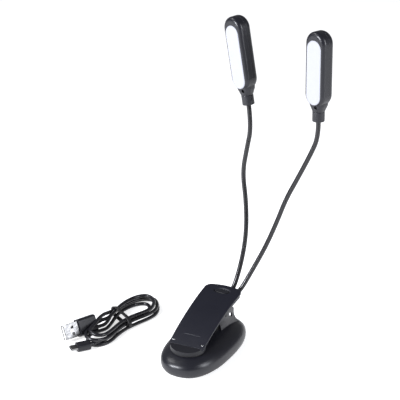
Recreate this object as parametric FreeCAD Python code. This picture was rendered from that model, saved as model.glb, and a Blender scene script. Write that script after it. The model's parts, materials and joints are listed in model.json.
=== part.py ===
"""Clip-on reading lamp: a pebble-shaped clamp base, a sprung clamping lever and two gooseneck heads,
with its USB charging cable lying beside it.

Millimetres. The origin is on the surface the lamp stands on, under the middle of the base. +Z is up,
-Y is the front, where the jaw opens, and +X is the lamp's right.
"""
import FreeCAD, Part
import math
import os

from FreeCAD import Vector as V

# Base: a pebble on a superellipse plan.
BASE_LENGTH = 95.8
BASE_WIDTH = 51.0
BASE_HEIGHT = 19.0
BASE_WIDEST_Z = 7.0
BASE_PLAN_POWER = 2.45
BASE_CROWN_POWER = 2.3
BASE_UNDERSIDE_INSET = 4.2
BASE_FLOOR_Z = 0.7
PARTING_Z = 3.6
PARTING_STEP = 0.35
WALL = 1.8

# Hinge between the base's tower and the lever.
PIN_Y = 17.0
PIN_Z = 28.5
PIN_R = 1.25
PIN_HEAD_R = 2.1
PIN_RUNNING_CLEARANCE = 0.05
CHEEK_INNER = 9.2
CHEEK_OUTER = 10.6
EAR_INNER = 7.3
EAR_OUTER = 8.8

# Lever: a long curved tongue, flat-toed at the front.
LEVER_HALF_FRONT = 14.6
LEVER_HALF_REAR = 15.8
LEVER_BODY_INSET = 0.7
LEVER_COVER_THICKNESS = 1.3
TOP_FRONT = V(0, -30.5, 20.3)
TOP_MIDDLE = V(0, 0, 32.9)
TOP_REAR = V(0, 39.6, 41.8)
UNDER_FRONT = V(0, -23.5, 20.6)
UNDER_MIDDLE = V(0, 4.0, 31.3)
UNDER_REAR = V(0, 39.6, 37.2)
TOE_TIP_Y = -39.4
TOE_TIP_Z = 18.9
TOE_HEEL_Y = -25.5
TOE_HALF_WIDTH = 14.1
TOE_CENTRE_Y = -27.3
JAW_PAD_THICKNESS = 1.2
JAW_GAP = 0.35
LOWER_PAD_THICKNESS = 0.8

# Power button in the lever's cover, on an axis that leans with the cover.
BUTTON_Y = 31.3
BUTTON_Z = 40.6
BUTTON_LEAN = 9.5
BUTTON_SEMI = (6.15, 2.6)
BUTTON_GAP = 0.3

# Goosenecks: each is a route from the clamp inside the lever to its lamp head.
NECK_R = 1.75
NECK_SPACING = 6.4
NECK_Z = 34.6
BALL_R = 1.6
SOCKET_R = 2.0
NECK_ROUTES = {
    "left": [V(-3.2, 28, 34.6), V(-3.2, 40.2, 34.6), V(-1.2, 48.3, 31.9), V(0.4, 53.4, 35.0), V(3.0, 62, 56),
             V(3.9, 67.6, 78.5), V(1.0, 72.4, 103), V(-3.8, 75.1, 126), V(-1.2, 77.2, 146), V(1.6, 79, 164),
             V(-1.6, 80.2, 181.8)],
    "right": [V(3.2, 28, 34.6), V(3.2, 40.2, 34.6), V(4.2, 47.6, 31.5), V(6.6, 53.2, 34.0), V(14.5, 60.5, 52.5),
              V(22, 65.9, 70), V(29.3, 70.2, 91), V(35.3, 73.3, 110.5), V(43.5, 75.6, 128),
              V(53.2, 77.9, 149.5), V(58.6, 79.3, 164), V(57.9, 80, 176.9)],
}
# The runs of each route whose middles are the places where the neck bends.
NECK_BENDS = {"left": (3, 5, 7, 9), "right": (3, 5, 8, 10)}

# Lamp heads: a flat capsule on a round collar.
HEAD_WIDTH = 19.6
HEAD_DEPTH = 13.4
HEAD_BOTTOM = 12.3
HEAD_TOP = 71.0
HEAD_WALL = 1.4
HEAD_FRONT_ROUND = 3.3
HEAD_BACK_ROUND = 4.8
COLLAR_R = 4.9
COLLAR_HEIGHT = 8.0
TAPER_TOP = 23.0
SCREW_X = 1.6
SCREW_Z = 12.0
DIFFUSER_WIDTH = 14.2
DIFFUSER_BOTTOM = 14.2
DIFFUSER_TOP = 64.5
HEAD_AXES = {"left": V(-0.17, 0, 0.985), "right": V(-0.015, 0, 1)}
HEAD_FACING = {"left": 23.0, "right": 20.5}

# Charging cable.
CABLE_R = 1.5
PLUG_DIRECTION = V(-0.40, -0.917, 0)
PLUG_LEAN = 25.0
PLUG_FRONT = V(-102.5, -22.5, 7.7)
PLUG_BODY = (17.0, 7.6, 14.2)
PLUG_SHELL = (13.5, 4.5, 12.0)
RELIEF_LENGTH = 6.0
MICRO_DIRECTION = V(-0.62, -0.785, 0)
MICRO_FRONT = V(-90.5, -43.5, 3.3)
MICRO_BODY = (11.0, 8.6, 6.0)
MICRO_SHELL = (5.2, 6.9, 1.9)
HANK_HEIGHT = 9.0
HANK_OUTSIDE = [(-80, -35.4), (-89.2, -32.6), (-93.6, -23), (-92.6, -11), (-93.6, -1), (-97.6, 11.5),
                (-100.6, 27), (-98, 43), (-91, 57.5), (-81, 64), (-69, 59.3), (-62, 45.5), (-63.4, 31),
                (-68.5, 17), (-72.4, 4), (-72, -10), (-72.5, -24)]
HANK_INSIDE = [(-83.5, 49.6), (-76.8, 47), (-75, 38.5), (-78, 27), (-81.4, 14), (-83.4, 2), (-83, -6),
               (-84.2, -10), (-85, -4), (-85.2, 3), (-87.4, 14), (-88.4, 26), (-87, 38)]


def export(name, shape):
    """Write one sub-part as parts/NAME.step."""
    shape.removeSplitter().exportStep("parts/" + name + ".step")


def box(x0, x1, y0, y1, z0, z1):
    return Part.makeBox(x1 - x0, y1 - y0, z1 - z0, V(x0, y0, z0))


def cylinder(radius, start, end):
    axis = end - start
    return Part.makeCylinder(radius, axis.Length, start, axis)


def fused(shapes):
    """One shape from several that touch or overlap."""
    whole = shapes[0]
    for shape in shapes[1:]:
        whole = whole.fuse(shape)
    return whole


def smooth_loop(points):
    """A closed wire on one smooth curve through points."""
    curve = Part.BSplineCurve()
    curve.interpolate(Points=points, PeriodicFlag=True)
    return Part.Wire([curve.toShape()])


def superellipse(half_x, half_y, power, z):
    """A closed plan outline, rounder than a rectangle and squarer than an ellipse."""
    steps = 40
    points = []
    for step in range(steps):
        angle = 2 * math.pi * step / steps
        c = math.cos(angle)
        s = math.sin(angle)
        x = half_x * math.copysign(abs(c) ** (2 / power), c)
        y = half_y * math.copysign(abs(s) ** (2 / power), s)
        points.append(V(x, y, z))
    return smooth_loop(points)


def ellipse_prism(semi_x, semi_y, z0, z1):
    """An upright prism on an ellipse centred on the Z axis."""
    if semi_x >= semi_y:
        curve = Part.Ellipse(V(0, 0, z0), semi_x, semi_y)
    else:
        curve = Part.Ellipse(V(0, semi_y, z0), V(semi_x, 0, z0), V(0, 0, z0))
    return Part.Face(Part.Wire([curve.toShape()])).extrude(V(0, 0, z1 - z0))


def pebble(shrink, rise=0.0):
    """The base's outer form, closed from below, made smaller all round by shrink."""
    half_x = BASE_WIDTH / 2 - shrink
    half_y = BASE_LENGTH / 2 - shrink
    crown = BASE_HEIGHT - BASE_WIDEST_Z - shrink
    sections = []
    for z in (BASE_FLOOR_Z, 1.7, PARTING_Z, 5.2):
        depth = (BASE_WIDEST_Z - z) / BASE_WIDEST_Z
        inset = BASE_UNDERSIDE_INSET * (1 - math.sqrt(1 - depth ** 2))
        sections.append((half_x - inset, half_y - inset, z))
    for degrees in (0, 11, 22, 33, 44, 55, 66, 76, 84):
        angle = math.radians(degrees)
        scale = math.cos(angle) ** (2 / BASE_CROWN_POWER)
        z = BASE_WIDEST_Z + crown * math.sin(angle) ** (2 / BASE_CROWN_POWER)
        sections.append((half_x * scale, half_y * scale, z))
    wires = [superellipse(x, y, BASE_PLAN_POWER, z + rise) for x, y, z in sections]
    return Part.makeLoft(wires, True, False)


def toe_prism(inset, z0, z1):
    """An upright block on the toe's plan: half an ellipse at the front, square at the heel."""
    half_x = TOE_HALF_WIDTH - inset
    half_y = TOE_CENTRE_Y - TOE_TIP_Y - inset
    left = V(-half_x, TOE_CENTRE_Y, z0)
    tip = V(0, TOE_CENTRE_Y - half_y, z0)
    round_front = ellipse_prism(half_x, half_y, z0, z1)
    round_front.translate(V(0, TOE_CENTRE_Y, 0))
    front = round_front.common(box(left.x, -left.x, tip.y, TOE_CENTRE_Y, z0, z1))
    return front.fuse(box(-half_x, half_x, TOE_CENTRE_Y, TOE_HEEL_Y - inset, z0, z1))


def side_prism(edges, half_x):
    """A shape drawn from the side, in the YZ plane, run across the lamp from -half_x to half_x."""
    face = Part.Face(Part.Wire(Part.sortEdges(edges)[0]))
    face.translate(V(-half_x, 0, 0))
    return face.extrude(V(2 * half_x, 0, 0))


def polygon_edges(points):
    """Straight edges from each point to the next; not closed."""
    return [Part.makeLine(a, b) for a, b in zip(points, points[1:])]


def yz(y, z):
    return V(0, y, z)


def shifted(point, dz):
    return V(point.x, point.y, point.z + dz)


def tower():
    """The two hinge cheeks on the base, spreading into its top at their feet."""
    sections = ((13.5, 3.0, 37.5, 13.0), (17.0, 7.4, 35.0, 11.5), (20.0, 8.2, 33.2, 10.8),
                (24.0, 6.0, 31.6, CHEEK_OUTER), (34.0, 2.0, 27.5, CHEEK_OUTER))
    wires = []
    for z, front, rear, half_x in sections:
        outline = Part.makePolygon([V(-half_x, front, z), V(half_x, front, z), V(half_x, rear, z),
                                    V(-half_x, rear, z), V(-half_x, front, z)])
        wires.append(outline)
    block = Part.makeLoft(wires, True, False)
    crown = polygon_edges([yz(0, 12), yz(0, 26), yz(6.5, 29.4), yz(11, 31.8)])
    crown.append(Part.Arc(yz(11, 31.8), yz(17.5, 33.1), yz(24, 32.1)).toShape())
    crown += polygon_edges([yz(24, 32.1), yz(29.5, 29.6), yz(42, 12), yz(0, 12)])
    block = block.common(side_prism(crown, 20))
    slot = box(-CHEEK_INNER, CHEEK_INNER, 0, 45, 10, 40).cut(pebble(0))
    window_points = [yz(22.7, 27.0), yz(25.4, 27.0), yz(28.4, 24.2), yz(28.6, 22.6), yz(27.4, 22.0),
                     yz(24.6, 23.6), yz(22.7, 25.6), yz(22.7, 27.0)]
    window = side_prism(polygon_edges(window_points), 20)
    rounded = window.makeFillet(0.6, [e for e in window.Edges if abs(e.tangentAt(0).x) > 0.9])
    block = block.cut(slot).cut(rounded).cut(cylinder(PIN_R, V(-20, PIN_Y, PIN_Z), V(20, PIN_Y, PIN_Z)))
    for side in (-1, 1):
        seat = V(side * CHEEK_OUTER, PIN_Y, PIN_Z)
        block = block.cut(cylinder(PIN_HEAD_R, seat, seat + V(side * 5, 0, 0)))
    return block


def boss_places():
    return [V(x, y, 0) for x in (-15, 15) for y in (-31, 31)]


def usb_inlet_cut():
    """The inlet's opening through the base's rear wall."""
    return box(-4.1, 4.1, 38, 52, 5.1, 8.5)


def base_parts():
    """The base's shells, foot, screws and the things inside them."""
    outside = pebble(0)
    inside = pebble(WALL)
    above = box(-60, 60, -60, 60, PARTING_Z, 30)
    lower_pad = toe_prism(1.3, 8, 24).common(outside).cut(pebble(0, -LOWER_PAD_THICKNESS))
    shell = outside.common(above).cut(inside.common(above)).fuse(tower())
    bosses = []
    for place in boss_places():
        boss = cylinder(2.4, shifted(place, PARTING_Z + 0.4), shifted(place, 15))
        bosses.append(boss.common(inside))
    shell = fused([shell] + bosses)
    for place in boss_places():
        shell = shell.cut(cylinder(0.9, shifted(place, 0), shifted(place, 11)))
    wire_hole = cylinder(1.2, V(6.0, 26, 10), V(6.0, 26, 24))
    shell = shell.cut(lower_pad).cut(usb_inlet_cut()).cut(wire_hole)
    export("base_top_shell", shell)
    export("lower_jaw_pad", lower_pad)

    plate = pebble(PARTING_STEP).common(box(-60, 60, -60, 60, 0, PARTING_Z))
    recess = superellipse(BASE_WIDTH / 2 - 5.5, BASE_LENGTH / 2 - 5.5, BASE_PLAN_POWER, BASE_FLOOR_Z + 1.6)
    plate = plate.cut(Part.Face(recess).extrude(V(0, 0, 10)))
    foot_recess = ellipse_prism(11.4, 35.4, 0, BASE_FLOOR_Z + 0.5)
    plate = plate.cut(foot_recess)
    posts = []
    for place in boss_places():
        posts.append(cylinder(2.8, shifted(place, BASE_FLOOR_Z + 1.2), shifted(place, PARTING_Z + 0.4)))
    plate = fused([plate] + posts)
    screws = []
    for place in boss_places():
        plate = plate.cut(cylinder(1.05, place, shifted(place, 6)))
        plate = plate.cut(cylinder(2.1, place, shifted(place, BASE_FLOOR_Z + 1.6)))
        screws.append(screw(0.9, 1.9, 8.0, BASE_FLOOR_Z + 1.6, place))
    export("base_plate", plate)
    export("base_screws", Part.makeCompound(screws))
    foot = ellipse_prism(11.2, 35.2, 0, BASE_FLOOR_Z + 0.5)
    bottom_rim = [e for e in foot.Edges if e.BoundBox.ZMax < 0.01]
    export("rubber_foot", foot.makeFillet(0.4, bottom_rim))

    cell = box(-16, 16, -25, 25, 3.9, 12.2)
    long_edges = [e for e in cell.Edges if abs(e.tangentAt(e.FirstParameter).y) > 0.9]
    export("battery_cell", cell.makeFillet(2.0, long_edges))
    board = box(-8.5, 8.5, 29.5, 44.0, 4.2, 5.2).common(inside)
    export("charge_board", board)
    export("usb_socket", usb_socket())
    export("battery_leads", Part.makeCompound([
        tube([V(-4, 25.1, 8), V(-4, 28, 8), V(-4, 31, 5.8)], 0.6),
        tube([V(4, 25.1, 8), V(4, 28, 8), V(4, 31, 5.8)], 0.6)]))


def screw(shank_r, head_r, length, head_top, place, head_height=1.3):
    """A pan-head screw driven upwards from head_top, with a cross recess in its head."""
    head = cylinder(head_r, shifted(place, head_top - head_height), shifted(place, head_top))
    shank = cylinder(shank_r, shifted(place, head_top), shifted(place, head_top + length))
    low = place.z + head_top - head_height
    arm = head_r * 0.62
    cross = box(place.x - arm, place.x + arm, place.y - 0.25, place.y + 0.25, low, low + 0.6)
    cross = cross.fuse(box(place.x - 0.25, place.x + 0.25, place.y - arm, place.y + arm, low, low + 0.6))
    return head.cut(cross).fuse(shank)


def usb_socket():
    """A micro-USB receptacle: a folded steel sleeve round a thin tongue, with a solid back."""
    sleeve = box(-3.75, 3.75, 39.6, 46.0, 5.3, 8.3)
    mouth = box(-3.4, 3.4, 40.8, 47.0, 5.7, 7.9)
    tongue = box(-2.6, 2.6, 40.0, 45.0, 7.0, 7.5)
    return sleeve.cut(mouth).fuse(tongue)


def hinge_pin():
    """The hinge pin, pressed into the cheeks, with a low dome at each end."""
    pin = cylinder(PIN_R, V(-CHEEK_OUTER, PIN_Y, PIN_Z), V(CHEEK_OUTER, PIN_Y, PIN_Z))
    heads = []
    for side in (-1, 1):
        start = V(side * CHEEK_OUTER, PIN_Y, PIN_Z)
        heads.append(cylinder(PIN_HEAD_R, start, start + V(side * 0.7, 0, 0)))
    return fused([pin] + heads)


def torsion_spring():
    """The clamp spring: close coils round the pin, one leg on the base and one under the lever."""
    wire_r = 0.55
    coil_r = 2.6
    turns = 6
    pitch = 1.25
    half = turns * pitch / 2
    coils = []
    for turn in range(turns):
        x = -half + pitch * (turn + 0.5)
        coils.append(Part.makeTorus(coil_r, wire_r + 0.09, V(x, PIN_Y, PIN_Z), V(1, 0, 0)))
    link_z = PIN_Z - coil_r
    link = cylinder(wire_r, V(-half + pitch / 2, PIN_Y, link_z), V(half - pitch / 2, PIN_Y, link_z))
    base_leg = cylinder(wire_r, V(-half + 0.6, PIN_Y, PIN_Z - coil_r), V(-half + 0.6, PIN_Y + 11, 18.0))
    leg_start = V(half - 0.6, PIN_Y, PIN_Z + coil_r)
    lever_leg = cylinder(wire_r, leg_start, V(half - 0.6, PIN_Y + 6.4, PIN_Z + 3.4))
    return fused(coils + [link, base_leg, lever_leg])


def lever_plan(inset, front_y, z0, z1):
    """The lever's plan as an upright block: straight sides, round rear corners, bowed rear edge."""
    front_half = LEVER_HALF_FRONT - inset
    rear_half = LEVER_HALF_REAR - inset
    corner_y = 31.0
    shoulder = V(9.5, 38.1 - inset, z0)
    rear = V(0, 39.2 - inset, z0)
    right_front = V(front_half, front_y, z0)
    left_front = V(-front_half, front_y, z0)
    right_corner = V(rear_half, corner_y, z0)
    left_corner = V(-rear_half, corner_y, z0)
    bulge = V(14.3 - inset * 0.8, 36.0 - inset * 0.8, z0)
    mirrored_bulge = V(-bulge.x, bulge.y, z0)
    left_shoulder = V(-shoulder.x, shoulder.y, z0)
    edges = [Part.makeLine(left_front, right_front),
             Part.makeLine(right_front, right_corner),
             Part.Arc(right_corner, bulge, shoulder).toShape(),
             Part.Arc(shoulder, rear, left_shoulder).toShape(),
             Part.Arc(left_shoulder, mirrored_bulge, left_corner).toShape(),
             Part.makeLine(left_corner, left_front)]
    return Part.Face(Part.Wire(edges)).extrude(V(0, 0, z1 - z0))


def above_arc(drop, half_x):
    """Everything above the lever's top curve lowered by drop, from its fold to its rear."""
    start = shifted(TOP_FRONT, -drop)
    end = shifted(TOP_REAR, -drop)
    arc = Part.Arc(start, shifted(TOP_MIDDLE, -drop), end).toShape()
    edges = [arc] + polygon_edges([end, yz(end.y, 60), yz(start.y, 60), start])
    return side_prism(edges, half_x)


def lever_slab():
    """The whole lever, toe and all, before it is cut to plan."""
    edges = [Part.Arc(TOP_FRONT, TOP_MIDDLE, TOP_REAR).toShape(),
             Part.Arc(UNDER_FRONT, UNDER_MIDDLE, UNDER_REAR).toShape(),
             Part.makeLine(TOP_REAR, UNDER_REAR)]
    edges += polygon_edges([UNDER_FRONT, yz(TOE_HEEL_Y, 17.0), yz(TOE_HEEL_Y, 10), yz(TOE_TIP_Y, 10),
                            yz(TOE_TIP_Y, TOE_TIP_Z), TOP_FRONT])
    return side_prism(edges, 20)


def keel():
    """The hollow ridge under the lever's rear half that the necks run into."""
    outer = box(-7.4, 7.4, 24.0, 38.2, 31.3, 38.0)
    lower_edges = [e for e in outer.Edges if e.BoundBox.ZMax < 31.4]
    return outer.makeFillet(1.2, lower_edges)


def on_button_axis(shape):
    """Put a shape drawn about the Z axis onto the button's leaning axis."""
    moved = shape.copy()
    moved.rotate(V(0, 0, 0), V(1, 0, 0), BUTTON_LEAN)
    moved.translate(V(0, BUTTON_Y, BUTTON_Z))
    return moved


def lever_parts():
    """The clamping lever and what rides in it."""
    slab = lever_slab()
    cover_zone = above_arc(LEVER_COVER_THICKNESS, 20).common(box(-20, 20, TOP_FRONT.y, 45, 10, 60))
    plan = lever_plan(0, TOP_FRONT.y, 0, 60)
    cover = slab.common(cover_zone).common(plan)
    dish = Part.makeLoft([Part.Wire([Part.Ellipse(V(0, 0, 0.6), 8.6, 4.7).toShape()]),
                          Part.Wire([Part.Ellipse(V(0, 0, -0.75), 6.7, 3.1).toShape()])], True, True)
    hole = ellipse_prism(BUTTON_SEMI[0] + BUTTON_GAP, BUTTON_SEMI[1] + BUTTON_GAP, -4, 2)
    cover = cover.cut(on_button_axis(dish)).cut(on_button_axis(hole))
    for side in (-1, 1):
        cover = cover.cut(box(side * 12.2 - 1.4, side * 12.2 + 1.4, -28.0, -26.8, 15, 30))
    grip_line = box(-6.5, 6.5, -20.9, -20.4, 15, 40)
    cover = cover.cut(grip_line.common(above_arc(0.25, 20)))
    export("lever_cover", cover)

    body_plan = lever_plan(LEVER_BODY_INSET, TOE_CENTRE_Y, 0, 60)
    body_zone = body_plan.fuse(toe_prism(0, 0, 60))
    body = slab.common(body_zone).cut(above_arc(LEVER_COVER_THICKNESS, 20))
    toe_limit = box(-20, 20, TOE_TIP_Y - 1, TOE_HEEL_Y + 3, 0, 30)
    pad_top = pebble(0, JAW_GAP + JAW_PAD_THICKNESS)
    body = body.cut(pad_top.common(toe_limit)).cut(box(-20, 20, -45, TOE_HEEL_Y + 3, 0, 15))
    body = body.fuse(keel())
    hollow_plan = lever_plan(LEVER_BODY_INSET + 1.3, 4.0, 0, 60)
    floor_edges = [Part.Arc(shifted(UNDER_FRONT, 1.1), shifted(UNDER_MIDDLE, 1.1),
                            shifted(UNDER_REAR, 1.1)).toShape()]
    high = 60
    floor_edges += polygon_edges([shifted(UNDER_REAR, 1.1), yz(UNDER_REAR.y, high),
                                  yz(UNDER_FRONT.y, high), shifted(UNDER_FRONT, 1.1)])
    hollow = side_prism(floor_edges, 20).common(hollow_plan)
    keel_hollow = box(-6.2, 6.2, 25.2, 36.9, 32.5, 42)
    body = body.cut(hollow).cut(keel_hollow)
    for side in (-1, 1):
        body = body.fuse(ear(side))
    for x in (-NECK_SPACING / 2, NECK_SPACING / 2):
        body = body.cut(cylinder(2.3, V(x, 30, NECK_Z), V(x, 45, NECK_Z)))
    body = body.cut(cylinder(1.0, V(6.0, 21.2, 30), V(6.0, 21.2, 40)))
    export("lever_body", body)

    jaw = toe_prism(0.4, 8, 30).common(pebble(0, JAW_GAP + JAW_PAD_THICKNESS))
    export("upper_jaw_pad", jaw.cut(pebble(0, JAW_GAP)))
    export("power_button", power_button())
    export("switch_board", on_button_axis(box(-5.8, 5.8, -3.6, 4.2, -3.6, -3.1)))
    tact_body = box(-3.0, 3.0, -1.75, 1.75, -3.1, -2.75)
    export("tact_switch", on_button_axis(tact_body.fuse(cylinder(0.9, V(0, 0, -3), V(0, 0, -2.62)))))
    clamp = box(-6.0, 6.0, 28.2, 32.2, 32.5, 36.0)
    for x in (-NECK_SPACING / 2, NECK_SPACING / 2):
        clamp = clamp.cut(cylinder(NECK_R, V(x, 20, NECK_Z), V(x, 40, NECK_Z)))
    clamp = clamp.cut(cylinder(0.8, V(0, 30.2, 30), V(0, 30.2, 40)))
    export("neck_clamp", clamp)
    clamp_screw = cylinder(0.8, V(0, 30.2, 32.5), V(0, 30.2, 36.0))
    export("clamp_screw", clamp_screw.fuse(cylinder(1.3, V(0, 30.2, 36.0), V(0, 30.2, 36.5))))


def ear(side):
    """One hinge ear of the lever, running on the pin between a cheek and the spring."""
    radius = 3.6
    points = [yz(PIN_Y - radius, PIN_Z), yz(PIN_Y - radius - 2.5, 34.2), yz(PIN_Y + radius + 2.5, 36.0),
              yz(PIN_Y + radius, PIN_Z)]
    edges = polygon_edges(points)
    edges.append(Part.Arc(points[3], yz(PIN_Y, PIN_Z - radius), points[0]).toShape())
    plate = side_prism(edges, (EAR_OUTER - EAR_INNER) / 2)
    plate.translate(V(side * (EAR_INNER + EAR_OUTER) / 2, 0, 0))
    bore = cylinder(PIN_R + PIN_RUNNING_CLEARANCE, V(-20, PIN_Y, PIN_Z), V(20, PIN_Y, PIN_Z))
    return plate.cut(bore)


def power_button():
    """An oval key with a domed top and a flange that keeps it under the cover."""
    key = ellipse_prism(BUTTON_SEMI[0], BUTTON_SEMI[1], -2.1, -0.35)
    top_rim = [e for e in key.Edges if e.BoundBox.ZMin > -0.5]
    key = key.makeFillet(0.35, top_rim)
    flange = ellipse_prism(7.5, 3.9, -2.15, -1.6)
    return on_button_axis(key.fuse(flange))


def neck_boot(x, neck):
    """A soft sleeve round a gooseneck where it leaves the lever."""
    tail = Part.makeCone(2.7, 2.4, 2.4, V(x, 38.5, NECK_Z), V(0, 1, 0))
    plug = cylinder(2.3, V(x, 37.0, NECK_Z), V(x, 38.6, NECK_Z))
    return tail.fuse(plug).cut(neck)


def hinge_wires():
    """The wires from the base to the lever, one stretch on each side of the hinge."""
    lower = tube([V(6.0, 26, 12.5), V(6.0, 26, 21.5), V(6.0, 20.6, 27.2)], 0.6)
    upper = tube([V(6.0, 20.0, 30.0), V(6.0, 21.2, 33.2), V(6.0, 21.2, 37.2)], 0.6)
    return lower, upper


def route_wire(points):
    """Straight runs joined by tangent arcs, each as large as its two runs allow."""
    edges = []
    start = points[0]
    radii = []
    for before, corner, after in zip(points, points[1:], points[2:]):
        way_in = (corner - before).normalize()
        way_out = (after - corner).normalize()
        half_turn = way_in.getAngle(way_out) / 2
        reach = 0.45 * min((corner - before).Length, (after - corner).Length)
        radius = reach / math.tan(half_turn)
        radii.append(radius)
        arc_start = corner - way_in * reach
        arc_end = corner + way_out * reach
        inwards = (way_out - way_in).normalize()
        arc_middle = corner + inwards * (radius / math.cos(half_turn) - radius)
        edges.append(Part.makeLine(start, arc_start))
        edges.append(Part.Arc(arc_start, arc_middle, arc_end).toShape())
        start = arc_end
    edges.append(Part.makeLine(start, points[-1]))
    return Part.Wire(edges), radii


def tube(points, radius, report=None):
    """A round bar along a route."""
    wire, radii = route_wire(points)
    circle = Part.makeCircle(radius, points[0], points[1] - points[0])
    solid = wire.makePipeShell([Part.Wire([circle])], True, False)
    expected = math.pi * radius ** 2 * wire.Length
    if report:
        print(report, "length", round(wire.Length, 1), "radii", [round(r, 1) for r in radii],
              "volume ratio", round(solid.Volume / expected, 4))
    return solid


def neck_pivots(side):
    """The middles of the runs where this neck bends."""
    route = NECK_ROUTES[side]
    return [(route[run] + route[run + 1]) / 2 for run in NECK_BENDS[side]]


def neck_parts(side):
    """A gooseneck in five lengths, each ending in a ball that the next one turns on."""
    route = NECK_ROUTES[side]
    bends = NECK_BENDS[side]
    pivots = neck_pivots(side)
    starts = [route[0]] + pivots
    ends = pivots + [route[-1]]
    first_points = [0] + [run + 1 for run in bends]
    last_points = [run + 1 for run in bends] + [len(route) - 1]
    names = ["_neck_root", "_neck_lower", "_neck_middle", "_neck_upper", "_neck_tip"]
    for index, name in enumerate(names):
        inner = route[first_points[index]:last_points[index]]
        if index == 0:
            inner = inner[1:]
        points = [starts[index]] + inner + [ends[index]]
        if len(points) == 2:
            length = cylinder(NECK_R, points[0], points[1])
        else:
            length = tube(points, NECK_R, side + name)
        if index == 0:
            export(side + "_neck_boot", neck_boot(route[0].x, length))
        else:
            length = length.cut(Part.makeSphere(SOCKET_R, points[0]))
        if index < len(bends):
            back = (points[-2] - points[-1]).normalize()
            trimmed = length.cut(cylinder(NECK_R + 1, points[-1] + back * 0.7, points[-1] - back * 2))
            length = trimmed.fuse(Part.makeSphere(BALL_R, points[-1]))
        export(side + name, length)


def capsule(width, bottom, top, front, back):
    """A flat capsule standing on end in the head's own axes, from y = front to y = back."""
    r = width / 2
    low = bottom + r
    high = top - r
    edges = [Part.makeLine(V(r, front, low), V(r, front, high)),
             Part.Arc(V(r, front, high), V(0, front, top), V(-r, front, high)).toShape(),
             Part.makeLine(V(-r, front, high), V(-r, front, low)),
             Part.Arc(V(-r, front, low), V(0, front, bottom), V(r, front, low)).toShape()]
    return Part.Face(Part.Wire(edges)).extrude(V(0, back - front, 0))


def rounded_rectangle(half_x, half_y, corner, z):
    """A closed outline with four equal round corners."""
    x = half_x - corner
    y = half_y - corner
    d = corner * math.sqrt(0.5)
    edges = [Part.makeLine(V(-x, -half_y, z), V(x, -half_y, z)),
             Part.Arc(V(x, -half_y, z), V(x + d, -y - d, z), V(half_x, -y, z)).toShape(),
             Part.makeLine(V(half_x, -y, z), V(half_x, y, z)),
             Part.Arc(V(half_x, y, z), V(x + d, y + d, z), V(x, half_y, z)).toShape(),
             Part.makeLine(V(x, half_y, z), V(-x, half_y, z)),
             Part.Arc(V(-x, half_y, z), V(-x - d, y + d, z), V(-half_x, y, z)).toShape(),
             Part.makeLine(V(-half_x, y, z), V(-half_x, -y, z)),
             Part.Arc(V(-half_x, -y, z), V(-x - d, -y - d, z), V(-x, -half_y, z)).toShape()]
    return Part.Wire(edges)


def head_outside():
    """The head's outer form: a capsule, rounder behind, drawn down to the collar."""
    half = HEAD_DEPTH / 2
    block = capsule(HEAD_WIDTH, HEAD_BOTTOM, HEAD_TOP, -half, half)
    front_rim = [e for e in block.Edges if e.BoundBox.YMax < -half + 0.01]
    block = block.makeFillet(HEAD_FRONT_ROUND, front_rim)
    back_rim = [e for e in block.Edges if e.BoundBox.YMin > half - 0.01]
    block = block.makeFillet(HEAD_BACK_ROUND, back_rim)
    taper = Part.makeLoft([rounded_rectangle(COLLAR_R - 0.1, COLLAR_R - 0.1, COLLAR_R - 0.3, COLLAR_HEIGHT),
                           rounded_rectangle(6.9, 5.4, 4.2, 13.0),
                           rounded_rectangle(9.0, 6.1, 4.6, TAPER_TOP)], True, True)
    return block.fuse(taper)


def head_placement(side):
    """From the head's own axes, collar at the origin and front along -Y, to its place."""
    up = V(HEAD_AXES[side]).normalize()
    turn = math.radians(HEAD_FACING[side])
    front = V(-math.sin(turn), -math.cos(turn), 0)
    front = (front - up * front.dot(up)).normalize()
    across = up.cross(front).normalize()
    rotation = FreeCAD.Rotation(across, front * -1, up, "ZYX")
    return FreeCAD.Placement(NECK_ROUTES[side][-1], rotation)


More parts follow.
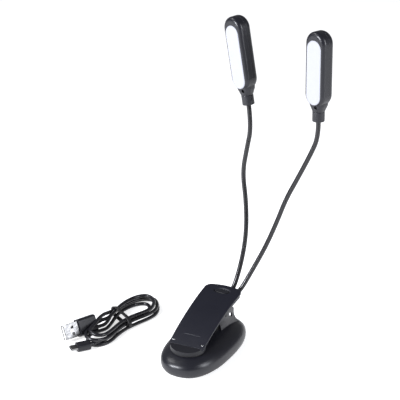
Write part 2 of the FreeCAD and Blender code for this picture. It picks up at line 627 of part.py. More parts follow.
def head_parts(side):
    """One lamp head: two shells, a diffuser, the LED board, a screw and the collar."""
    half = HEAD_DEPTH / 2
    outside = head_outside()
    spigot = cylinder(3.6, V(0, 0, 1.6), V(0, 0, COLLAR_HEIGHT + 2))
    solid = outside.fuse(spigot)
    cavity = capsule(HEAD_WIDTH - 2 * HEAD_WALL, HEAD_BOTTOM + 2.2, HEAD_TOP - HEAD_WALL,
                     -half + 1.7, half - 2.2)
    back_edges = [e for e in cavity.Edges if e.BoundBox.YMin > half - 2.3]
    cavity = cavity.makeFillet(3.2, back_edges)
    window = capsule(DIFFUSER_WIDTH + 0.1, DIFFUSER_BOTTOM - 0.05, DIFFUSER_TOP + 0.05,
                     -half - 1, -half + 1.8)
    wire_way = cylinder(1.3, V(0, 0.4, 0), V(0, 0.4, 20))
    solid = solid.cut(cavity).cut(window).cut(wire_way)
    front_zone = box(-20, 20, -20, 0, -5, 90)
    front = solid.common(front_zone)
    back = solid.cut(front_zone)
    pocket = cylinder(1.55, V(SCREW_X, -10, SCREW_Z), V(SCREW_X, -3.3, SCREW_Z))
    shank_hole = cylinder(0.7, V(SCREW_X, -10, SCREW_Z), V(SCREW_X, 2.2, SCREW_Z))
    front = front.cut(pocket).cut(shank_hole)
    back = back.cut(shank_hole)
    posts = [cylinder(1.1, V(0, -0.9, z), V(0, half - 1.5, z)) for z in (24.0, 57.0)]
    back = fused([back] + posts)

    diffuser = capsule(DIFFUSER_WIDTH, DIFFUSER_BOTTOM, DIFFUSER_TOP, -half - 0.25, -half + 1.7)
    lens_rim = [e for e in diffuser.Edges if e.BoundBox.YMax < -half]
    diffuser = diffuser.makeFillet(0.5, lens_rim)
    board = capsule(11.0, 17.0, 63.0, -1.8, -1.0)
    leds = [box(-1.4, 1.4, -2.5, -1.8, z - 1.75, z + 1.75) for z in (22.5, 33.5, 44.5, 55.5)]
    head_screw = cylinder(0.7, V(SCREW_X, -3.3, SCREW_Z), V(SCREW_X, 2.2, SCREW_Z))
    screw_head = cylinder(1.4, V(SCREW_X, -4.3, SCREW_Z), V(SCREW_X, -3.3, SCREW_Z))
    slot = box(SCREW_X - 0.9, SCREW_X + 0.9, -4.4, -3.9, SCREW_Z - 0.2, SCREW_Z + 0.2)
    cross = slot.fuse(box(SCREW_X - 0.2, SCREW_X + 0.2, -4.4, -3.9, SCREW_Z - 0.9, SCREW_Z + 0.9))
    head_screw = head_screw.fuse(screw_head.cut(cross))
    collar = cylinder(COLLAR_R, V(0, 0, 0), V(0, 0, COLLAR_HEIGHT))
    collar_edges = [e for e in collar.Edges
                    if e.BoundBox.ZMax < 0.01 or e.BoundBox.ZMin > COLLAR_HEIGHT - 0.01]
    collar = collar.makeFillet(0.45, collar_edges)
    collar = collar.cut(cylinder(3.6, V(0, 0, 1.6), V(0, 0, 20)))
    collar = collar.cut(cylinder(NECK_R, V(0, 0, -1), V(0, 0, 3)))

    placement = head_placement(side)
    pieces = {"head_front": front, "head_back": back, "diffuser": diffuser, "led_board": board,
              "leds": Part.makeCompound(leds), "head_screw": head_screw, "head_collar": collar}
    for name, piece in pieces.items():
        export(side + "_" + name, placed(piece, placement))


def lying(direction, lean, at):
    """A placement whose X runs along direction, with its Z leaning over from upright."""
    forward = V(direction).normalize()
    upright = V(0, 0, 1)
    sideways = upright.cross(forward)
    rotation = FreeCAD.Rotation(forward, sideways, upright, "XZY")
    tilt = FreeCAD.Rotation(V(1, 0, 0), lean)
    return FreeCAD.Placement(at, rotation.multiply(tilt))


def placed(shape, placement):
    moved = shape.copy()
    moved.transformShape(placement.toMatrix(), False)
    return moved


def moulded_box(length, thickness, height, corner):
    """A plug's moulding, front face at x = 0 and running back along -X."""
    block = box(-length, 0, -thickness / 2, thickness / 2, -height / 2, height / 2)
    long_edges = [e for e in block.Edges if e.BoundBox.XLength > length - 0.01]
    block = block.makeFillet(corner, long_edges)
    back = [e for e in block.Edges if e.BoundBox.XMax < -length + 0.01]
    return block.makeFillet(corner * 0.6, back)


def usb_a_plug(placement):
    """The USB-A plug: steel shell with its two latch holes, plastic tongue and moulding."""
    length, thickness, height = PLUG_SHELL
    shell = box(-3, length, -thickness / 2, thickness / 2, -height / 2, height / 2)
    bore = box(0.4, length + 1, -thickness / 2 + 0.35, thickness / 2 - 0.35,
               -height / 2 + 0.35, height / 2 - 0.35)
    shell = shell.cut(bore)
    for z in (-2.6, 2.6):
        shell = shell.cut(box(5.0, 7.2, -5, 5, z - 1.1, z + 1.1))
    tongue = box(0.4, length - 0.6, -thickness / 2 + 0.35, -thickness / 2 + 2.2,
                 -height / 2 + 0.35, height / 2 - 0.35)
    body = moulded_box(PLUG_BODY[0], PLUG_BODY[1], PLUG_BODY[2], 2.2).cut(
        box(-3, 0.1, -thickness / 2, thickness / 2, -height / 2, height / 2))
    back = V(-PLUG_BODY[0], 0, 0)
    relief = Part.makeCone(2.6, 1.75, RELIEF_LENGTH, back, V(-1, 0, 0))
    body = body.fuse(relief)
    export("usb_plug_shell", placed(shell, placement))
    export("usb_plug_tongue", placed(tongue, placement))
    moulding = placed(body, placement)
    export("usb_plug_moulding", moulding)
    return moulding


def micro_plug(placement):
    """The micro-USB plug at the cable's other end."""
    length, width, height = MICRO_SHELL
    shell = box(-1.5, length, -width / 2, width / 2, -height / 2, height / 2)
    lower = [e for e in shell.Edges if e.BoundBox.XLength > length and e.BoundBox.ZMax < 0]
    shell = shell.makeChamfer(0.7, lower)
    shell = shell.cut(box(1.0, length + 1, -width / 2 + 0.8, width / 2 - 0.8,
                          -height / 2 + 0.3, height / 2 - 0.3))
    body = moulded_box(MICRO_BODY[0], MICRO_BODY[1], MICRO_BODY[2], 2.0)
    body = body.cut(placed_local(shell))
    back = V(-MICRO_BODY[0], 0, 0)
    body = body.fuse(Part.makeCone(2.2, 1.7, 3.0, back, V(-1, 0, 0)))
    moulding = placed(body, placement)
    export("micro_plug_shell", placed(shell, placement))
    export("micro_plug_moulding", moulding)
    return moulding


def placed_local(shell):
    """The solid block that a hollow shell fills, for cutting its seat."""
    bounds = shell.BoundBox
    return box(bounds.XMin, 0, bounds.YMin, bounds.YMax, bounds.ZMin, bounds.ZMax)


def cable_parts():
    """The charging cable: two plugs, two short free leads, the tied hank and its tie."""
    plug_at = lying(PLUG_DIRECTION, PLUG_LEAN, PLUG_FRONT)
    plug_moulding = usb_a_plug(plug_at)
    micro_at = lying(MICRO_DIRECTION, 0, MICRO_FRONT)
    micro_moulding = micro_plug(micro_at)
    outside = Part.Face(smooth_loop([V(x, y, 0) for x, y in HANK_OUTSIDE]))
    inside = Part.Face(smooth_loop([V(x, y, 0) for x, y in HANK_INSIDE]))
    hank = outside.extrude(V(0, 0, HANK_HEIGHT)).cut(inside.extrude(V(0, 0, HANK_HEIGHT)))
    back_of_plug = plug_at.multVec(V(-PLUG_BODY[0] - RELIEF_LENGTH, 0, 0))
    lead = tube([back_of_plug, back_of_plug - V(PLUG_DIRECTION) * 9, V(-87.5, 16, 4.7)], CABLE_R, "usb lead")
    hank = hank.cut(lead).cut(micro_moulding).cut(plug_moulding)
    tie = hank_tie()
    export("usb_cable_lead", lead)
    export("usb_cable_hank", hank.cut(tie))
    export("hank_tie", tie)


def hank_tie():
    """A flat twist tie passed round the waist of the hank."""
    outer = box(-103.8, -67.3, 15.8, 18.8, 0, HANK_HEIGHT + 0.8)
    inner = box(-103.0, -68.1, 15.6, 19.0, 0.8, HANK_HEIGHT)
    band = outer.cut(inner)
    band.rotate(V(-85.2, 17.3, 0), V(0, 0, 1), -32.5)
    return band


os.makedirs("parts", exist_ok=True)
base_parts()
export("hinge_pin", hinge_pin())
export("torsion_spring", torsion_spring())
lower_wire, upper_wire = hinge_wires()
export("hinge_wire_lower", lower_wire)
export("hinge_wire_upper", upper_wire)
lever_parts()
for lamp_side in ("left", "right"):
    neck_parts(lamp_side)
    head_parts(lamp_side)
cable_parts()
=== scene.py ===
"""Clip-on reading lamp on a white studio floor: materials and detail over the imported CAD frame."""
import json
import math

import bpy
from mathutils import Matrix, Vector


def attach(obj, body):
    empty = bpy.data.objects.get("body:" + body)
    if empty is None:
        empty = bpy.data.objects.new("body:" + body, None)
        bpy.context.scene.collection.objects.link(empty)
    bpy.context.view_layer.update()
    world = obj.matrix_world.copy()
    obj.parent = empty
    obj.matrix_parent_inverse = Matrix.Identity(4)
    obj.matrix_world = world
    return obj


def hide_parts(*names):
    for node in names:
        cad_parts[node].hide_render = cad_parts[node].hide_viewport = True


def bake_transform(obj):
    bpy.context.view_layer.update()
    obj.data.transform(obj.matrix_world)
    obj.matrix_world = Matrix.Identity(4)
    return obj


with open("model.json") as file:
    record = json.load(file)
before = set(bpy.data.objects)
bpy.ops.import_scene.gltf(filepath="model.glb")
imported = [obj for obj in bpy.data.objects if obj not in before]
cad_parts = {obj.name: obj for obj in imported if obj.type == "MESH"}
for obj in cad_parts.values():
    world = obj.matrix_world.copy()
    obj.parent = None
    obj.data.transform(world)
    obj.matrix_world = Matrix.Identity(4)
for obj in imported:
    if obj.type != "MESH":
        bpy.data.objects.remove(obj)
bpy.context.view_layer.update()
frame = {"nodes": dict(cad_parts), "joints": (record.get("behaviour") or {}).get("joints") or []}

# Camera.
CAMERA_AZIMUTH = math.radians(27.1)
CAMERA_ELEVATION = math.radians(21.6)
CAMERA_DISTANCE = 1.0
CAMERA_AIM = (-0.00285, -0.00146, 0.1292)
CAMERA_LENS = 119.7
SENSOR_WIDTH = 36

# Sizes are in metres. Routes and outlines are in millimetres.
MM = 0.001
NECK_RADIUS = 0.0019
SPRING_WIRE_RADIUS = 0.00055
SUPPLY_WIRE_RADIUS = 0.0006
CABLE_DIAMETER = 0.003

# The neck's joints from the lever up.
NECK_JOINTS = ["neck_swing", "neck_bend", "neck_upper_bend", "head_nod"]

NECK_ROUTES = {
    "left": [(-3.2, 28, 34.6), (-3.2, 40.2, 34.6), (-1.2, 48.3, 31.9), (0.4, 53.4, 35.0), (3.0, 62, 56),
             (3.9, 67.6, 78.5), (1.0, 72.4, 103), (-3.8, 75.1, 126), (-1.2, 77.2, 146), (1.6, 79, 164),
             (-1.6, 80.2, 181.8)],
    "right": [(3.2, 28, 34.6), (3.2, 40.2, 34.6), (4.2, 47.6, 31.5), (6.6, 53.2, 34.0), (14.5, 60.5, 52.5),
              (22, 65.9, 70), (29.3, 70.2, 91), (35.3, 73.3, 110.5), (43.5, 75.6, 128),
              (53.2, 77.9, 149.5), (58.6, 79.3, 164), (57.9, 80, 176.9)],
}


def new_object(name, data):
    """An object of this mesh, curve, light or camera, linked into the scene."""
    thing = bpy.data.objects.new(name, data)
    bpy.context.scene.collection.objects.link(thing)
    return thing


def new_material(name):
    """A material with its nodes, its links and its shader."""
    material = bpy.data.materials.new(name)
    material.use_nodes = True
    nodes = material.node_tree.nodes
    return material, nodes, material.node_tree.links, nodes["Principled BSDF"]


def add(nodes, kind, **settings):
    """A shader node, with each setting put on its input of that name or else on the node itself."""
    node = nodes.new(kind)
    for key, value in settings.items():
        label = key.replace("_", " ")
        if label in node.inputs:
            node.inputs[label].default_value = value
        else:
            setattr(node, key, value)
    return node


def ramp(nodes, links, source, low, high, bottom, top):
    """source mapped from low..high to bottom..top."""
    node = nodes.new("ShaderNodeMapRange")
    node.inputs["From Min"].default_value = low
    node.inputs["From Max"].default_value = high
    node.inputs["To Min"].default_value = bottom
    node.inputs["To Max"].default_value = top
    links.new(source, node.inputs["Value"])
    return node.outputs["Result"]


def mixed_colour(nodes, links, factor, first, second):
    """first blended to second by factor. The Mix node's colour sockets share their names with others,
    so they are found by number."""
    node = nodes.new("ShaderNodeMix")
    node.data_type = "RGBA"
    node.inputs[6].default_value = (*first, 1)
    node.inputs[7].default_value = (*second, 1)
    links.new(factor, node.inputs[0])
    return node.outputs[2]


def edge_mask(nodes, links, radius):
    """Near 1 along the sharp edges of the shape, 0 on its flats; and the rounded normal that goes with it."""
    bevel = add(nodes, "ShaderNodeBevel", samples=4, Radius=radius)
    geometry = nodes.new("ShaderNodeNewGeometry")
    dot = add(nodes, "ShaderNodeVectorMath", operation="DOT_PRODUCT")
    links.new(bevel.outputs["Normal"], dot.inputs[0])
    links.new(geometry.outputs["Normal"], dot.inputs[1])
    return ramp(nodes, links, dot.outputs["Value"], 0.985, 0.8, 0, 1), bevel.outputs["Normal"]


def moulded(name, colour, painted_edge_highlight, roughness, grain, depth, edge=0.0004, smudge=0.05, gloss=0.5):
    """Moulded plastic or rubber: fine cavity grain, faint smudges, and a painted highlight: a paler colour in
    patches along the sharp edges.
    """
    material, nodes, links, shader = new_material(name)
    place = nodes.new("ShaderNodeTexCoord").outputs["Object"]
    fine = add(nodes, "ShaderNodeTexNoise", Scale=grain, Detail=3.0, Roughness=0.6)
    broad = add(nodes, "ShaderNodeTexNoise", Scale=55.0, Detail=4.0, Roughness=0.55)
    dust = add(nodes, "ShaderNodeTexNoise", Scale=1400.0, Detail=1.0)
    for texture in (fine, broad, dust):
        links.new(place, texture.inputs["Vector"])
    mask, rounded = edge_mask(nodes, links, edge)
    # Painted highlight: the paler colour is laid along the sharp edges, broken up in patches.
    highlight_patches = add(nodes, "ShaderNodeMath", operation="MULTIPLY")
    links.new(mask, highlight_patches.inputs[0])
    links.new(ramp(nodes, links, broad.outputs["Fac"], 0.38, 0.62, 0.15, 0.8), highlight_patches.inputs[1])
    links.new(mixed_colour(nodes, links, highlight_patches.outputs[0], colour, painted_edge_highlight), shader.inputs["Base Color"])
    rough = add(nodes, "ShaderNodeMath", operation="ADD")
    links.new(ramp(nodes, links, broad.outputs["Fac"], 0.3, 0.7, roughness - smudge, roughness + smudge),
              rough.inputs[0])
    links.new(ramp(nodes, links, dust.outputs["Fac"], 0.45, 0.75, 0, 0.06), rough.inputs[1])
    links.new(rough.outputs[0], shader.inputs["Roughness"])
    bump = add(nodes, "ShaderNodeBump", Strength=1.0, Distance=depth)
    links.new(fine.outputs["Fac"], bump.inputs["Height"])
    links.new(rounded, bump.inputs["Normal"])
    links.new(bump.outputs["Normal"], shader.inputs["Normal"])
    shader.inputs["Specular IOR Level"].default_value = gloss
    shader.inputs["IOR"].default_value = 1.47
    return material


def metal(name, colour, roughness, stretch, depth=0.000006):
    """Pressed or drawn steel with fine drawn lines and a few stains."""
    material, nodes, links, shader = new_material(name)
    place = nodes.new("ShaderNodeTexCoord").outputs["Object"]
    mapping = add(nodes, "ShaderNodeMapping", Scale=stretch)
    links.new(place, mapping.inputs["Vector"])
    lines = add(nodes, "ShaderNodeTexNoise", Scale=900.0, Detail=2.0)
    stains = add(nodes, "ShaderNodeTexNoise", Scale=180.0, Detail=4.0)
    links.new(mapping.outputs["Vector"], lines.inputs["Vector"])
    links.new(place, stains.inputs["Vector"])
    darker = tuple(c * 0.72 for c in colour)
    stained = ramp(nodes, links, stains.outputs["Fac"], 0.4, 0.7, 0, 1)
    links.new(mixed_colour(nodes, links, stained, colour, darker), shader.inputs["Base Color"])
    links.new(ramp(nodes, links, lines.outputs["Fac"], 0.3, 0.7, roughness - 0.07, roughness + 0.1),
              shader.inputs["Roughness"])
    _, rounded = edge_mask(nodes, links, 0.00015)
    bump = add(nodes, "ShaderNodeBump", Strength=1.0, Distance=depth)
    links.new(lines.outputs["Fac"], bump.inputs["Height"])
    links.new(rounded, bump.inputs["Normal"])
    links.new(bump.outputs["Normal"], shader.inputs["Normal"])
    shader.inputs["Metallic"].default_value = 1.0
    return material


def light_panel(name, colour, glow, strength):
    """A milky diffuser lit from behind, a little dimmer towards its rim."""
    material, nodes, links, shader = new_material(name)
    place = nodes.new("ShaderNodeTexCoord").outputs["Object"]
    cloud = add(nodes, "ShaderNodeTexNoise", Scale=120.0, Detail=2.0)
    frost = add(nodes, "ShaderNodeTexNoise", Scale=3000.0, Detail=2.0)
    links.new(place, cloud.inputs["Vector"])
    links.new(place, frost.inputs["Vector"])
    mask, rounded = edge_mask(nodes, links, 0.0014)
    dim = add(nodes, "ShaderNodeMath", operation="MULTIPLY")
    links.new(ramp(nodes, links, mask, 0, 1, 1, 0.55), dim.inputs[0])
    links.new(ramp(nodes, links, cloud.outputs["Fac"], 0.3, 0.7, strength * 0.97, strength * 1.03),
              dim.inputs[1])
    links.new(dim.outputs[0], shader.inputs["Emission Strength"])
    links.new(mixed_colour(nodes, links, cloud.outputs["Fac"], colour, tuple(c * 0.97 for c in colour)),
              shader.inputs["Base Color"])
    shader.inputs["Emission Color"].default_value = (*glow, 1)
    shader.inputs["Roughness"].default_value = 0.42
    bump = add(nodes, "ShaderNodeBump", Strength=1.0, Distance=0.000008)
    links.new(frost.outputs["Fac"], bump.inputs["Height"])
    links.new(rounded, bump.inputs["Normal"])
    links.new(bump.outputs["Normal"], shader.inputs["Normal"])
    return material


def board(name, colour, trace):
    """A circuit board's solder mask with copper tracks showing through."""
    material, nodes, links, shader = new_material(name)
    place = nodes.new("ShaderNodeTexCoord").outputs["Object"]
    tracks = add(nodes, "ShaderNodeTexBrick", Scale=420.0, Mortar_Size=0.06)
    links.new(place, tracks.inputs["Vector"])
    links.new(mixed_colour(nodes, links, tracks.outputs["Fac"], colour, trace), shader.inputs["Base Color"])
    shader.inputs["Roughness"].default_value = 0.35
    bump = add(nodes, "ShaderNodeBump", Strength=1.0, Distance=0.00003)
    links.new(tracks.outputs["Fac"], bump.inputs["Height"])
    links.new(bump.outputs["Normal"], shader.inputs["Normal"])
    return material


def dress(material, *names):
    """Give CAD nodes this material."""
    for name in names:
        piece = frame["nodes"][name]
        if piece.material_slots:
            for slot in piece.material_slots:
                slot.material = material
        else:
            piece.data.materials.append(material)


def spline_curve(name, points, steps):
    """The NURBS spline that these control points (millimetres) give, with this many steps a span."""
    curve = bpy.data.curves.new(name, "CURVE")
    curve.dimensions = "3D"
    spline = curve.splines.new("NURBS")
    spline.points.add(len(points) - 1)
    for slot, point in zip(spline.points, points):
        slot.co = (point[0] * MM, point[1] * MM, point[2] * MM, 1)
    spline.order_u = 3
    spline.use_endpoint_u = True
    curve.resolution_u = steps
    return curve


def smooth_line(points, steps=14):
    """Points along the spline of these control points."""
    curve = spline_curve("route", points, steps)
    holder = new_object("route", curve)
    bpy.context.view_layer.update()
    mesh = bpy.data.meshes.new_from_object(holder)
    line = [v.co.copy() for v in mesh.vertices]
    bpy.data.objects.remove(holder)
    bpy.data.curves.remove(curve)
    bpy.data.meshes.remove(mesh)
    return line


def tube(name, line, section, material, closed=False):
    """A mesh tube: section (points across the line, in metres) carried along line without twisting."""
    count = len(section)
    directions = []
    for i in range(len(line)):
        before = line[i - 1] if i or closed else line[0]
        after = line[(i + 1) % len(line)] if i + 1 < len(line) or closed else line[-1]
        directions.append((after - before).normalized())
    side = directions[0].orthogonal().normalized()
    verts = []
    for point, direction in zip(line, directions):
        side = (side - direction * side.dot(direction)).normalized()
        other = direction.cross(side)
        verts += [point + side * a + other * b for a, b in section]
    rings = len(line)
    faces = []
    for ring in range(rings if closed else rings - 1):
        following = (ring + 1) % rings
        for k in range(count):
            faces.append((ring * count + k, ring * count + (k + 1) % count,
                          following * count + (k + 1) % count, following * count + k))
    if not closed:
        faces.append(tuple(range(count))[::-1])
        faces.append(tuple((rings - 1) * count + k for k in range(count)))
    mesh = bpy.data.meshes.new(name)
    mesh.from_pydata(verts, [], faces)
    mesh.polygons.foreach_set("use_smooth", [len(f) == 4 for f in faces])
    mesh.update()
    mesh.materials.append(material)
    return new_object(name, mesh)


def round_section(radius, count=20):
    """The points of a circle."""
    return [(radius * math.cos(2 * math.pi * k / count), radius * math.sin(2 * math.pi * k / count))
            for k in range(count)]


def joint_place(name):
    """Where this joint of the frame is."""
    found = [j for j in frame["joints"] if j["name"] == name][0]
    return Vector(found["pos_m"])


def nearest(line, place):
    """The index of the line's point that is nearest to place."""
    return min(range(len(line)), key=lambda i: (line[i] - place).length)


def make_neck(side, material):
    """One gooseneck as four lengths of tube along one smooth route, each cut midway between the CAD neck's
    joints.
    """
    line = smooth_line(NECK_ROUTES[side], 24)
    nodes = [("neck_root", "neck_lower"), ("neck_middle",), ("neck_upper",), ("neck_tip",)]
    places = [joint_place(side + "_" + joint) for joint in NECK_JOINTS]
    hits = [nearest(line, place) for place in places]
    cuts = [0] + [(a + b) // 2 for a, b in zip(hits, hits[1:])] + [len(line) - 1]
    for index, hit in enumerate(hits):
        part = line[cuts[index]:cuts[index + 1] + 1]
        piece = tube(f"{side}_gooseneck_{index + 1}", part, round_section(NECK_RADIUS), material)
        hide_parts(*[side + "_" + n for n in nodes[index]])
        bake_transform(piece)


def make_spring(material):
    """The clamp spring: a leg on the base, close turns round the pin and a leg under the lever."""
    pin = joint_place("clamp_lever")
    radius, turns, half = 2.6, 5.5, 3.1
    base_leg = [(-half, 28, 18.0), (-half, 23, 21.2)]
    lever_leg = [(half, 20.5, 31.4), (half, 23.4, 31.9)]
    steps = 18
    coil = []
    for k in range(int(turns * steps) + 1):
        angle = -math.pi / 2 - 2 * math.pi * k / steps
        x = -half + 2 * half * k / (turns * steps)
        coil.append((x, pin.y / MM + radius * math.cos(angle), pin.z / MM + radius * math.sin(angle)))
    line = smooth_line(base_leg + coil + lever_leg, 4)
    piece = tube("clamp_spring", line, round_section(SPRING_WIRE_RADIUS, 10), material)
    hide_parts("torsion_spring")
    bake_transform(piece)


def make_hinge_wire(material):
    """The supply wire that runs up from the base into the lever, just behind the pin."""
    route = [(6, 26, 12.5), (6, 26, 20), (6, 25, 25), (6, 21.8, 29), (6, 21.2, 33), (6, 21.2, 37.2)]
    piece = tube("hinge_wire", smooth_line(route), round_section(SUPPLY_WIRE_RADIUS, 12), material)
    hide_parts("hinge_wire_lower", "hinge_wire_upper")
    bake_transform(piece)


# The charging cable in four turns of the hank, from the USB plug's moulding to the small plug.
CABLE_FIRST_TURN = [
    (-93.31, -1.39, 7.7), (-91.9, 1.8, 7.4), (-91.0, 6.0, 7.0), (-91.4, 12, 7.0), (-92.6, 21, 7.2),
    (-93.2, 32, 7.6), (-91.8, 43, 7.7), (-88.4, 51.6, 7.7), (-83.2, 56.2, 7.6), (-76.8, 54.8, 7.3),
    (-71.0, 48, 7.0), (-68.4, 38.6, 6.6), (-70.4, 30.4, 6.4), (-73.8, 22, 6.6), (-76.4, 12, 7.0),
    (-77.6, 1, 7.2), (-76.8, -11, 7.4), (-76.8, -19.5, 7.7), (-78.2, -24.0, 8.0), (-81.8, -26.9, 8.4),
    (-86.3, -26.9, 9.0), (-89.9, -24.3, 9.5), (-91.3, -20, 9.8), (-92.0, -12.5, 10.3),
]
CABLE_SECOND_TURN = [
    (-93.4, -4.0, 11.0), (-94.2, 4, 10.4), (-95.0, 13, 7.8), (-95.4, 23, 5.6), (-94.9, 34, 4.7),
    (-93.2, 45, 4.6), (-89.4, 53.6, 4.6), (-83.4, 58.8, 4.6), (-76.2, 58.2, 4.6), (-69.6, 51, 4.6),
    (-66.0, 41, 4.2), (-68.2, 32, 3.8), (-72.0, 23, 3.8), (-75.0, 13, 4.0), (-76.2, 2, 4.2),
    (-75.6, -9, 4.6), (-75.0, -19, 4.8), (-76.8, -27, 5.6), (-81.0, -32.8, 6.6), (-87.4, -32.6, 7.1),
    (-92.2, -27.6, 7.3), (-94.0, -20, 7.3), (-91.2, -11.5, 6.6),
]
CABLE_THIRD_TURN = [
    (-89.8, -2, 4.6), (-92.2, 8, 3.4), (-96.2, 18, 2.4), (-97.6, 28, 1.7), (-97.0, 38, 1.5),
    (-94.2, 49, 1.5), (-90.4, 57, 1.5), (-84.4, 61.6, 1.5), (-76.8, 60.4, 1.5), (-69.2, 51.6, 1.5),
    (-64.6, 40, 1.5), (-66.4, 29, 1.5), (-70.8, 17, 1.5), (-74.0, 5, 1.5), (-74.6, -7, 1.5),
    (-73.8, -18, 1.5), (-75.8, -26.4, 1.5), (-80.8, -31.6, 1.5), (-87.0, -31.0, 1.7),
    (-91.6, -26.4, 2.6), (-92.4, -19, 3.6), (-89.6, -11, 3.0),
]
CABLE_LAST_TURN = [
    (-87.6, -3, 1.8), (-88.9, 6, 1.5), (-91.4, 16, 1.5), (-93.4, 27, 1.5), (-92.2, 39, 1.5),
    (-88.2, 48.6, 1.5), (-82.8, 52.6, 1.5), (-77.0, 50.4, 1.5), (-73.6, 43, 1.5), (-75.4, 32, 1.5),
    (-78.6, 20, 1.5), (-80.6, 8, 1.5), (-80.8, -4, 1.5), (-79.2, -15, 1.5), (-78.4, -22, 2.0),
    (-79.0, -27, 3.4), (-80.2, -30, 4.0), (-81.84, -32.54, 3.3),
]


def make_cable(material):
    """The charging cable: one round cord from plug to plug."""
    points = CABLE_FIRST_TURN + CABLE_SECOND_TURN + CABLE_THIRD_TURN + CABLE_LAST_TURN
    curve = spline_curve("charging_cord", points, 12)
    curve.bevel_depth = CABLE_DIAMETER / 2
    curve.bevel_resolution = 6
    curve.use_fill_caps = True
    curve.materials.append(material)
    piece = new_object("charging_cord", curve)
    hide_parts("usb_cable_lead", "usb_cable_hank")
    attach(piece, "charging_cable")


def make_catches(material):
    """The two bright catches that hold the cover to the toe, flush in its slits."""
    spread, half_width = 12.2, 1.1
    outline = ((-27.75, 21.55), (-27.0, 21.95), (-27.0, 21.0), (-27.75, 20.6))
    corners = len(outline)
    verts = []
    faces = []
    for side in (-1, 1):
        start = len(verts)
        for dx in (-half_width, half_width):
            for y, z in outline:
                verts.append(((side * spread + dx) * MM, y * MM, z * MM))
        faces.append(tuple(start + k for k in range(corners))[::-1])
        faces.append(tuple(start + corners + k for k in range(corners)))
        for k in range(corners):
            following = (k + 1) % corners
            faces.append((start + k, start + following, start + corners + following, start + corners + k))
    mesh = bpy.data.meshes.new("cover_catches")
    mesh.from_pydata(verts, [], faces)
    mesh.materials.append(material)
    piece = new_object("cover_catches", mesh)
    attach(piece, "lever")


def make_tie(material):
    """A flat tie round the waist of the hank, as one closed band."""
    half_width, half_thick = 0.0016, 0.00035
    section = [(half_width, half_thick), (-half_width, half_thick), (-half_width, -half_thick),
               (half_width, -half_thick)]
    ring = [(-98.6, 25.8, 3.2), (-98.2, 25.6, 6.2), (-95.6, 23.9, 8.6), (-91.4, 21.2, 9.4),
            (-86.0, 17.8, 8.4), (-80.0, 14.0, 8.6), (-75.6, 11.2, 8.2), (-72.4, 9.2, 5.6),
            (-71.4, 8.5, 2.8), (-73.0, 9.5, 0.75), (-85.2, 17.3, 0.6), (-95.0, 23.5, 0.75),
            (-98.2, 25.6, 1.2), (-98.6, 25.8, 3.2)]
    line = smooth_line(ring)[:-1]
    piece = tube("hank_twist_tie", line, section, material, closed=True)
    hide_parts("hank_tie")
    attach(piece, "charging_cable")


def make_floor():
    """A white floor that glows a little, so that it is as bright as the surround."""
    mesh = bpy.data.meshes.new("floor")
    mesh.from_pydata([(-4, -4, 0), (4, -4, 0), (4, 6, 0), (-4, 6, 0)], [], [(0, 1, 2, 3)])
    floor = new_object("floor", mesh)
    material, _, _, shader = new_material("floor")
    shader.inputs["Base Color"].default_value = (0.9, 0.9, 0.9, 1)
    shader.inputs["Roughness"].default_value = 0.7
    shader.inputs["Emission Color"].default_value = (1, 1, 1, 1)
    shader.inputs["Emission Strength"].default_value = 0.65
    mesh.materials.append(material)


def make_light(name, place, aim, size, power, colour=(1, 1, 1)):
    """A rectangular softbox at place, turned towards aim."""
    light = bpy.data.lights.new(name, "AREA")
    light.shape = "RECTANGLE"
    light.size, light.size_y = size
    light.energy = power
    light.color = colour
    lamp = new_object(name, light)
    lamp.location = place
    lamp.rotation_euler = (Vector(aim) - Vector(place)).to_track_quat("-Z", "Y").to_euler()


def make_studio():
    """A white surround that lights only gently, and softboxes small enough to leave crisp highlights."""
    world = bpy.data.worlds.new("studio")
    world.use_nodes = True
    nodes, links = world.node_tree.nodes, world.node_tree.links
    background = nodes["Background"]
    background.inputs["Color"].default_value = (0.97, 0.98, 1, 1)
    straight = nodes.new("ShaderNodeLightPath").outputs["Is Camera Ray"]
    links.new(ramp(nodes, links, straight, 0, 1, 0.2, 1.05), background.inputs["Strength"])
    bpy.context.scene.world = world
    bpy.context.scene.view_settings.view_transform = "Standard"
    cool_white = (0.92, 0.94, 1)
    make_light("softbox_left", place=(-0.62, -0.95, 0.62), aim=(-0.02, -0.03, 0.02), size=(0.4, 0.44),
               power=24, colour=cool_white)
    make_light("softbox_right", place=(1.0, 0.05, 0.5), aim=(0, 0, 0.08), size=(0.26, 0.7),
               power=8, colour=cool_white)
    make_light("softbox_top", place=(-0.9, -0.1, 1.1), aim=(0, 0, 0.1), size=(0.4, 0.4), power=4)


def make_camera():
    """The camera, CAMERA_DISTANCE back from its aim."""
    data = bpy.data.cameras.new("camera")
    data.lens = CAMERA_LENS
    data.sensor_width = SENSOR_WIDTH
    camera = new_object("camera", data)
    back = Vector((math.sin(CAMERA_AZIMUTH) * math.cos(CAMERA_ELEVATION),
                   -math.cos(CAMERA_AZIMUTH) * math.cos(CAMERA_ELEVATION), math.sin(CAMERA_ELEVATION)))
    camera.location = Vector(CAMERA_AIM) + back * CAMERA_DISTANCE
    camera.rotation_euler = (-back).to_track_quat("-Z", "Y").to_euler()
    bpy.context.scene.camera = camera


make_camera()
make_studio()
make_floor()
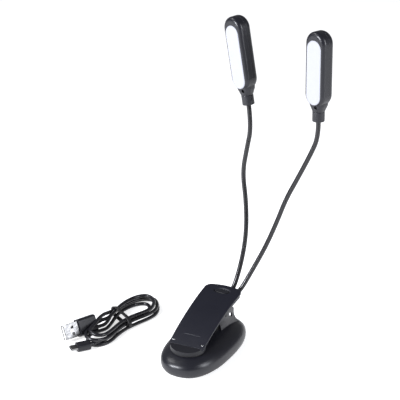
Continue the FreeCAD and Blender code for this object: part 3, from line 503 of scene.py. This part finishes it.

# Each moulded material's second colour is its painted edge highlight.
shell = moulded("shell_black", colour=(0.009, 0.0092, 0.0135), painted_edge_highlight=(0.035, 0.036, 0.048),
                roughness=0.31, grain=1900, depth=0.000006, smudge=0.03, gloss=0.46)
cover = moulded("cover_black", colour=(0.0065, 0.007, 0.013), painted_edge_highlight=(0.035, 0.036, 0.05),
                roughness=0.4, grain=2600, depth=0.000004, edge=0.0003, gloss=0.4)
inner = moulded("inner_plastic", colour=(0.009, 0.0092, 0.0125), painted_edge_highlight=(0.035, 0.036, 0.046),
                roughness=0.4, grain=1500, depth=0.000008, edge=0.0003, gloss=0.4)
rubber = moulded("rubber_black", colour=(0.012, 0.012, 0.014), painted_edge_highlight=(0.03, 0.03, 0.032),
                 roughness=0.6, grain=1200, depth=0.00003)
coat = moulded("neck_coat", colour=(0.008, 0.008, 0.010), painted_edge_highlight=(0.025, 0.025, 0.03),
               roughness=0.24, grain=700, depth=0.000002, edge=0.0001)
jacket = moulded("cable_black", colour=(0.009, 0.009, 0.012), painted_edge_highlight=(0.025, 0.025, 0.03),
                 roughness=0.27, grain=1300, depth=0.000004)
tie_material = moulded("tie_black", colour=(0.010, 0.010, 0.011), painted_edge_highlight=(0.04, 0.04, 0.04),
                       roughness=0.45, grain=1300, depth=0.00002, edge=0.0002)
wire = moulded("wire_red", colour=(0.32, 0.02, 0.02), painted_edge_highlight=(0.4, 0.05, 0.05),
               roughness=0.4, grain=1300, depth=0.00002)
tongue = moulded("tongue_white", colour=(0.78, 0.78, 0.76), painted_edge_highlight=(0.85, 0.85, 0.85),
                 roughness=0.42, grain=1600, depth=0.00001)
foil = metal("battery_foil", colour=(0.72, 0.73, 0.75), roughness=0.38, stretch=(1, 1, 1), depth=0.00002)
steel = metal("steel", colour=(0.56, 0.56, 0.57), roughness=0.28, stretch=(0.08, 1, 1))
dark_steel = metal("dark_steel", colour=(0.03, 0.03, 0.033), roughness=0.4, stretch=(1, 1, 1))
plug_steel = metal("plug_steel", colour=(0.24, 0.24, 0.24), roughness=0.34, stretch=(1, 0.12, 1),
                   depth=0.0000005)
lit = light_panel("diffuser_white", colour=(0.2, 0.205, 0.235), glow=(0.86, 0.885, 1.0), strength=0.52)
phosphor = light_panel("led_yellow", colour=(0.9, 0.82, 0.4), glow=(1.0, 0.95, 0.8), strength=1.0)
green = board("board_green", colour=(0.02, 0.12, 0.05), trace=(0.05, 0.22, 0.1))

dress(shell, "base_top_shell")
dress(cover, "lever_cover")
dress(inner, "base_plate", "lever_body", "power_button", "tact_switch", "neck_clamp")
dress(rubber, "rubber_foot", "lower_jaw_pad", "upper_jaw_pad", "left_neck_boot", "right_neck_boot")
dress(inner, "usb_plug_moulding", "micro_plug_moulding")
dress(tongue, "usb_plug_tongue")
dress(foil, "battery_cell")
dress(steel, "base_screws", "clamp_screw")
dress(dark_steel, "hinge_pin")
dress(plug_steel, "usb_socket", "usb_plug_shell", "micro_plug_shell")
dress(wire, "battery_leads")
dress(green, "charge_board", "switch_board")
for lamp_side in ("left", "right"):
    dress(shell, lamp_side + "_head_front", lamp_side + "_head_back", lamp_side + "_head_collar")
    dress(lit, lamp_side + "_diffuser")
    dress(green, lamp_side + "_led_board")
    dress(phosphor, lamp_side + "_leds")
    dress(dark_steel, lamp_side + "_head_screw")
    make_neck(lamp_side, coat)
make_spring(steel)
make_hinge_wire(wire)
make_catches(steel)
make_tie(tie_material)
make_cable(jacket)

bpy.context.view_layer.update()
